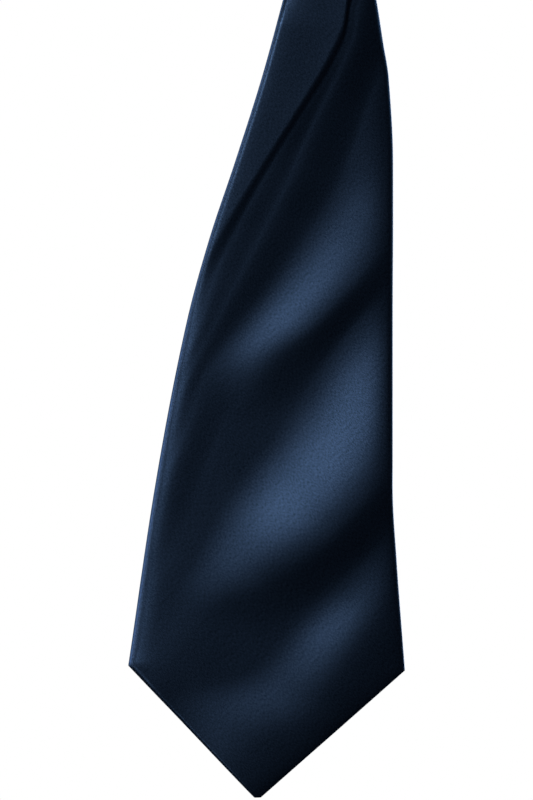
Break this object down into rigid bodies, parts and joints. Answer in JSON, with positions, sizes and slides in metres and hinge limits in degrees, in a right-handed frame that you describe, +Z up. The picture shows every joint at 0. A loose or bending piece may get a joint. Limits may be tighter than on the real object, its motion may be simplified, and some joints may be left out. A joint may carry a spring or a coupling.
{
  "type": "necktie",
  "caption": "Satin necktie tied in a four-in-hand knot, with a draped pointed front blade, a narrow tail held behind it by a keeper loop, and a loop for the neck.",
  "frame": {"origin": "middle of the loop that goes round the neck", "axes": "+Z up, +X to the right of someone who faces the tie, -Y forwards, away from the wearer's chest"},
  "size_m": [0.1273, 0.1644, 0.3798],
  "materials": {
    "satin_shell": "dark navy satin, soft sheen with a fine grain",
    "wool_interlining": "brushed cream wool, matte",
    "tipping_lining": "plain navy lining, smooth",
    "sewing_thread": "twisted navy thread",
    "label_tape": "blank woven tape, matte"
  },
  "bodies": {
    "neck_loop": {"neckband_blade_side": "satin_shell", "neckband_gusset": "satin_shell", "neckband_tail_side": "satin_shell", "neckband_interlining": "wool_interlining", "piecing_seams": "sewing_thread", "neckband_slip_stitch": "sewing_thread", "blade_side_strand": "satin_shell", "tail_side_strand": "satin_shell"},
    "knot": {"knot_wrap": "satin_shell", "knot_wrap_interlining": "wool_interlining", "knot_first_turn": "satin_shell", "knot_bridge": "satin_shell", "tail_run": "satin_shell"},
    "throat": {"throat_shell": "satin_shell", "throat_interlining": "wool_interlining"},
    "front_blade": {"blade_shell": "satin_shell", "blade_interlining": "wool_interlining", "blade_tipping": "tipping_lining", "blade_slip_stitch": "sewing_thread", "blade_bar_tack": "sewing_thread", "fibre_label": "label_tape", "keeper_loop": "satin_shell", "tail_strand": "satin_shell"},
    "tail": {"tail_shell": "satin_shell", "tail_interlining": "wool_interlining", "tail_tipping": "tipping_lining", "tail_slip_stitch": "sewing_thread", "tail_bar_tack": "sewing_thread"}
  },
  "joints": [
    {"name": "knot_slide", "type": "slide", "parent": "neck_loop", "child": "knot", "axis": [0, 0, 1], "range_m": [-0.05, 0], "deforming": ["blade_side_strand", "tail_side_strand"]},
    {"name": "blade_sway", "type": "hinge", "parent": "knot", "child": "throat", "pos_m": [-0.0131, -0.0833, -0.076], "axis": [0, 1, 0], "range_deg": [-12, 12]},
    {"name": "blade_lift", "type": "hinge", "parent": "throat", "child": "front_blade", "pos_m": [0, -0.08325, -0.087], "axis": [-1, 0, 0], "range_deg": [-15, 90]},
    {"name": "tail_slide", "type": "slide", "parent": "front_blade", "child": "tail", "axis": [0.0883, 0, 0.9961], "range_m": [0, 0.1], "deforming": ["tail_strand"]}
  ],
  "couplings": [
    {"joint": "tail_slide", "follows": "knot_slide", "ratio": -2}
  ]
}
